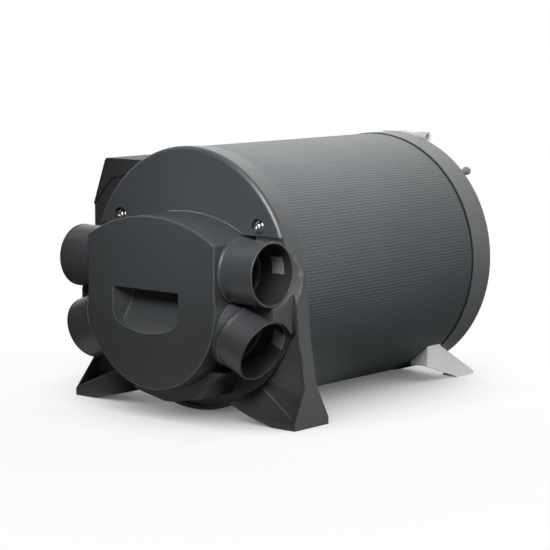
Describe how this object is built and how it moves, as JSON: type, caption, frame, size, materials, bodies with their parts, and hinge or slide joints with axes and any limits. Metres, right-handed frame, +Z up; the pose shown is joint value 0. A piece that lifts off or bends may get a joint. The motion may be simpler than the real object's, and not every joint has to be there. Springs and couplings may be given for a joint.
{
  "type": "combined air and water heater",
  "caption": "Caravan heater: ribbed drum lying on feet, front manifold with finger grip and angled warm-air outlets, rear air intake, side electronics housing.",
  "frame": {"origin": "midway between the two front foot holes, on the floor below the drum axis", "axes": "+X to the right seen from the outlet end, +Y along the drum from the outlets to the rear, +Z up"},
  "size_m": [0.451, 0.5101, 0.2967],
  "materials": {
    "charcoal_plastic": "fine grain",
    "drum_paint": "ribbed, satin",
    "grey_plastic": "fine grain",
    "black_plastic": "smooth",
    "rubber": "matt",
    "galvanised_steel": "zinc plated",
    "bright_steel": "bright",
    "stainless_steel": "rolled",
    "cast_aluminium": "cast",
    "insulation_felt": "felt",
    "brass": "turned",
    "white_ceramic": "glazed",
    "board_green": "lacquered",
    "red_plastic": "moulded"
  },
  "bodies": {
    "heater": {"front_cover": "charcoal_plastic", "air_manifold": "charcoal_plastic", "duct_socket_upper_right": "charcoal_plastic", "duct_socket_upper_left": "charcoal_plastic", "duct_socket_lower_right": "charcoal_plastic", "duct_socket_lower_left": "charcoal_plastic", "electronics_base": "charcoal_plastic", "flue_housing": "charcoal_plastic", "drum_casing": "drum_paint", "rear_cover": "grey_plastic", "hose_peg": "grey_plastic", "intake_grille": "black_plastic", "motor_cap": "black_plastic", "air_pipe": "black_plastic", "air_spigot": "black_plastic", "cable_glands": "black_plastic", "ignition_module": "black_plastic", "manifold_gasket": "rubber", "rear_seal": "rubber", "rear_bracket_right": "galvanised_steel", "rear_bracket_left": "galvanised_steel", "front_bulkhead": "galvanised_steel", "motor_bracket": "galvanised_steel", "cover_screws": "bright_steel", "grille_screws": "bright_steel", "bracket_screws": "bright_steel", "water_tank": "stainless_steel", "flue_pipe": "stainless_steel", "flue_spigot": "stainless_steel", "burner_tube": "stainless_steel", "exhaust_header": "stainless_steel", "hot_water_union": "stainless_steel", "cold_water_union": "stainless_steel", "heat_exchanger": "cast_aluminium", "combustion_fan_housing": "cast_aluminium", "gas_valve": "cast_aluminium", "fan_motor": "cast_aluminium", "combustion_motor": "cast_aluminium", "tank_insulation": "insulation_felt", "gas_inlet": "brass", "gas_pipe": "brass", "ignition_electrode": "white_ceramic", "terminal_blocks": "white_ceramic", "control_board": "board_green", "tank_sensor": "board_green", "overheat_switch": "red_plastic"},
    "circulation_fan": {"circulation_impeller": "black_plastic", "fan_shaft": "bright_steel"},
    "combustion_fan": {"combustion_impeller": "black_plastic", "combustion_shaft": "bright_steel"},
    "lid": {"electronics_lid": "charcoal_plastic"},
    "button": {"reset_button": "red_plastic"}
  },
  "joints": [
    {"name": "circulation_fan_spin", "type": "hinge", "parent": "heater", "child": "circulation_fan", "pos_m": [0, 0, 0.1485], "axis": [0, 1, 0], "continuous": true},
    {"name": "combustion_fan_spin", "type": "hinge", "parent": "heater", "child": "combustion_fan", "pos_m": [0, 0.36, 0.1485], "axis": [0, 1, 0], "continuous": true},
    {"name": "lid_lift", "type": "slide", "parent": "heater", "child": "lid", "axis": [0, 0, 1], "range_m": [0, 0.06]},
    {"name": "button_press", "type": "slide", "parent": "heater", "child": "button", "axis": [1, 0, 0], "range_m": [0, 0.002], "stiffness_N_per_m": 500, "springref_m": -0.001}
  ]
}
